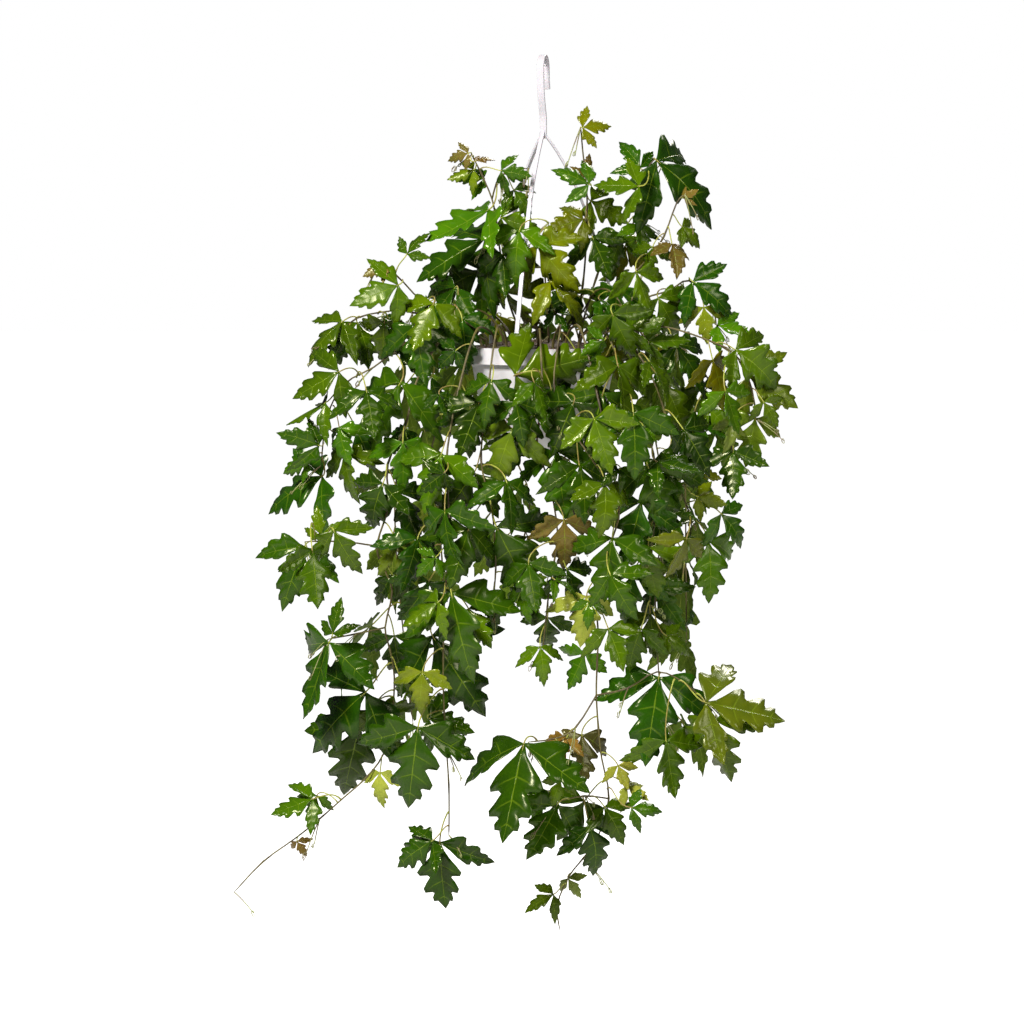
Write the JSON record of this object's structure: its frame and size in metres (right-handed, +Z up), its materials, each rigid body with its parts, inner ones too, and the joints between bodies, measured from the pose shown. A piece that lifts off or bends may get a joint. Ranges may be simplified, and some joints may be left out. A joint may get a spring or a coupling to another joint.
{
  "type": "hanging pot plant",
  "caption": "Trailing grape ivy in a plastic hanging pot, held by a moulded hanger with a hook.",
  "frame": {"origin": "the point inside the hook that bears on what the plant hangs from, on the pot's axis", "axes": "+Z up along the pot's axis, -Y to the front, +X to the right as seen from the front"},
  "size_m": [0.6129, 0.4941, 0.9453],
  "materials": {
    "hanger": "satin white",
    "pot": "satin white",
    "soil": "damp potting mix",
    "leaves": "glossy green"
  },
  "bodies": {
    "root": {"hanger": "hanger", "pot": "pot", "soil": "soil", "vine_arching_right": "leaves", "vine_back_1": "leaves", "vine_back_2": "leaves", "vine_back_3": "leaves", "vine_back_4": "leaves", "vine_back_5": "leaves", "vine_back_6": "leaves", "vine_bud_right": "leaves", "vine_crown_front": "leaves", "vine_crown_high": "leaves", "vine_crown_right": "leaves", "vine_front_centre": "leaves", "vine_front_left": "leaves", "vine_front_left_short": "leaves", "vine_front_right": "leaves", "vine_left_crown": "leaves", "vine_left_far": "leaves", "vine_left_shoulder": "leaves", "vine_long_front_right": "leaves", "vine_long_left": "leaves", "vine_long_right": "leaves", "vine_right_hanging": "leaves", "vine_right_low": "leaves", "vine_right_shoulder": "leaves", "vine_top_right": "leaves", "vine_twiggy_front": "leaves"}
  },
  "joints": []
}
